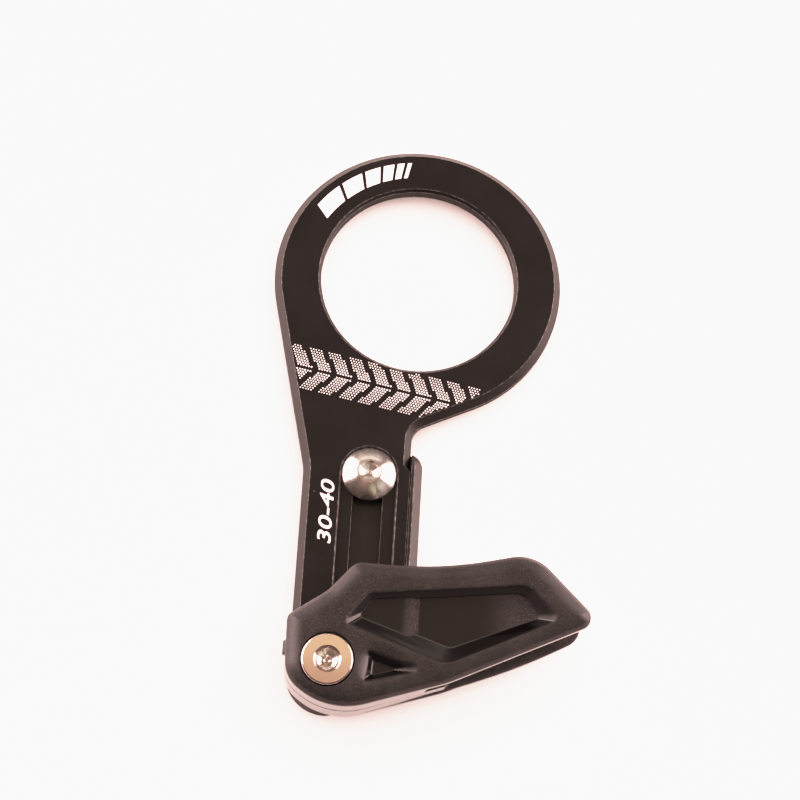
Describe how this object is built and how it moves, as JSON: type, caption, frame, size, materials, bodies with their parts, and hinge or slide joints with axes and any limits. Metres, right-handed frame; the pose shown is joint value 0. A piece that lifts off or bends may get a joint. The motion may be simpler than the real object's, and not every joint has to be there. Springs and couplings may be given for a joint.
{
  "type": "bicycle chain guide",
  "caption": "Bottom bracket chain guide: a flat clamping ring with a slotted arm, a sliding carriage and a moulded cage that keeps the chain on the chainring.",
  "frame": {"origin": "on the bottom bracket's axis, at the back face of the ring, which seats on the bracket shell", "axes": "+Z along the bracket axis, away from the bicycle's frame; +Y along the arm, from the cage towards the ring; +X along the chain, towards the cage's tip"},
  "size_m": [0.0571, 0.1062, 0.0186],
  "materials": {
    "ring_plate_anodised": "black anodised, satin, bright at the cut edges",
    "carriage_anodised": "black anodised, satin",
    "clamp_screw_steel": "bright turned steel",
    "inner_guide_nylon": "black moulded nylon, fine grain",
    "outer_guide_nylon": "black moulded nylon, fine grain",
    "guide_screw_steel": "bright steel with a warm tint on its flat head"
  },
  "bodies": {
    "plate": {"ring_plate": "ring_plate_anodised"},
    "carriage": {"carriage_plate": "carriage_anodised", "clamp_screw": "clamp_screw_steel", "inner_guide": "inner_guide_nylon", "outer_guide": "outer_guide_nylon", "guide_screw": "guide_screw_steel"}
  },
  "joints": [
    {"name": "height_slide", "type": "slide", "parent": "plate", "child": "carriage", "axis": [0, -1, 0], "range_m": [0, 0.02]}
  ]
}
